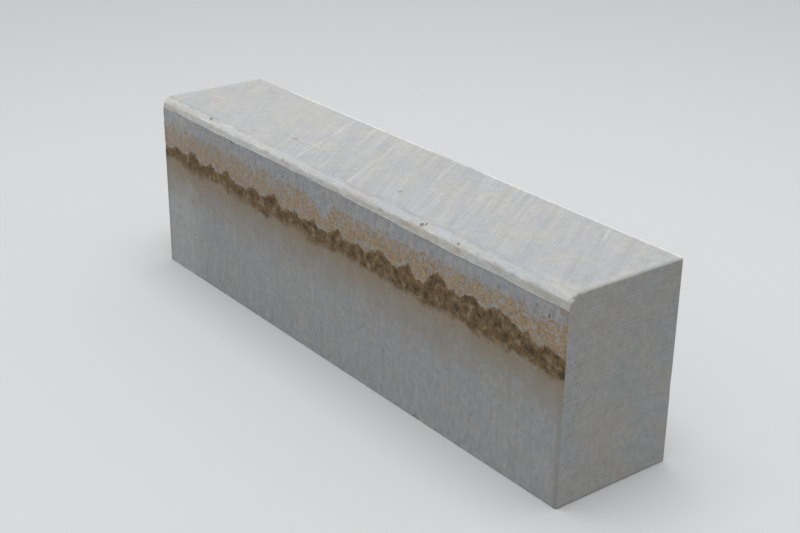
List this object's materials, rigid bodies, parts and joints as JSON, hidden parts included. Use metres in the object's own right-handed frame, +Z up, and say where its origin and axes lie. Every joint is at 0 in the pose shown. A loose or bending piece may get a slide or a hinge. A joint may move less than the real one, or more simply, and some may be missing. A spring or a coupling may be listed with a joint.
{
  "type": "granite kerb stone",
  "caption": "Straight sawn granite kerb stone, rectangular in section, with a hand-ground bevelled nose along its road-side top edge, small eased arrises and chipped edges.",
  "frame": {"origin": "middle of the bed, the underside that the stone stands on", "axes": "+X along the stone, -Y towards the road (the side with the ground nose), +Y towards the footway, +Z up"},
  "size_m": [1, 0.2, 0.3],
  "materials": {
    "granite": "pale grey fine-grained granite, ground top and nose, sawn sides, with splashed mud on the road side"
  },
  "bodies": {
    "root": {"kerb_stone": "granite"}
  },
  "joints": []
}
